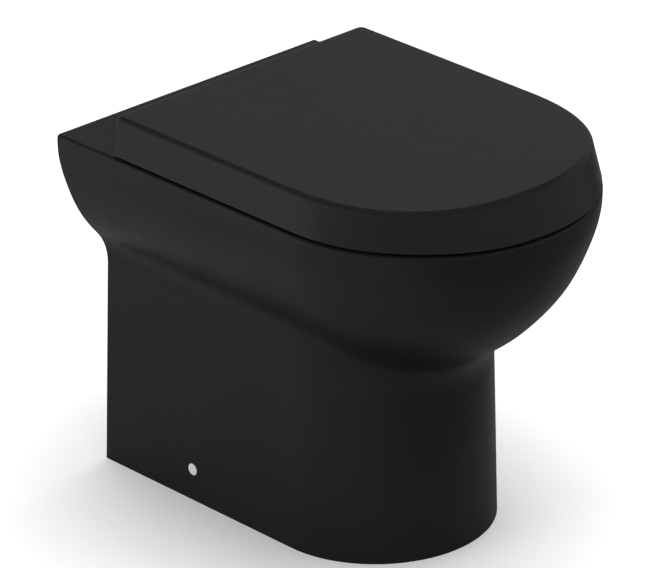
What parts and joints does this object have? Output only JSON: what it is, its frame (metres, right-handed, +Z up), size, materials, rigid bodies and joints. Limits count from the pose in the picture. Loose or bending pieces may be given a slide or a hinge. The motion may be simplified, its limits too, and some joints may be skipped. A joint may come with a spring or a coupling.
{
  "type": "back to wall toilet",
  "caption": "Skirted floor-standing toilet pan with a D-shaped soft-close seat ring and wrap-over cover; stands against a wall and flushes from a hidden cistern.",
  "frame": {"origin": "on the floor, at the middle of the pan's length and width", "axes": "+X across the pan, -Y to the front where the user is, +Y to the wall behind, +Z up"},
  "size_m": [0.376, 0.5359, 0.4435],
  "materials": {
    "glaze": "satin black glaze",
    "seat_plastic": "satin black moulded thermoset",
    "post_metal": "polished",
    "steel": "zinc-plated",
    "axle_steel": "ground",
    "rubber_black": "matt",
    "buffer_rubber": "matt",
    "damper_plastic": "fine-moulded",
    "bush_plastic": "natural acetal",
    "nylon": "natural nylon",
    "bracket_plastic": "glass-filled nylon",
    "cap_white": "white, smooth"
  },
  "bodies": {
    "root": {"pan": "glaze", "hinge_gaskets": "rubber_black", "hinge_plates": "post_metal", "hinge_studs": "steel", "stud_grommets": "rubber_black", "stud_washers": "steel", "wing_nuts": "nylon", "hinge_post_left": "post_metal", "hinge_post_right": "post_metal", "grub_screws": "steel", "hinge_axles": "axle_steel", "floor_bracket_left": "bracket_plastic", "floor_bracket_right": "bracket_plastic", "side_washers": "nylon", "side_screws": "steel", "side_caps": "cap_white"},
    "seat": {"seat_ring": "seat_plastic", "seat_damper": "damper_plastic", "seat_bush": "bush_plastic", "seat_buffers": "buffer_rubber"},
    "cover": {"seat_cover": "seat_plastic", "cover_damper": "damper_plastic", "cover_bush": "bush_plastic", "cover_buffers": "buffer_rubber"}
  },
  "joints": [
    {"name": "seat_hinge", "type": "hinge", "parent": "root", "child": "seat", "pos_m": [0, 0.1765, 0.431], "axis": [-1, 0, 0], "range_deg": [0, 92]},
    {"name": "cover_hinge", "type": "hinge", "parent": "seat", "child": "cover", "pos_m": [0, 0.1765, 0.431], "axis": [-1, 0, 0], "range_deg": [0, 96]}
  ]
}
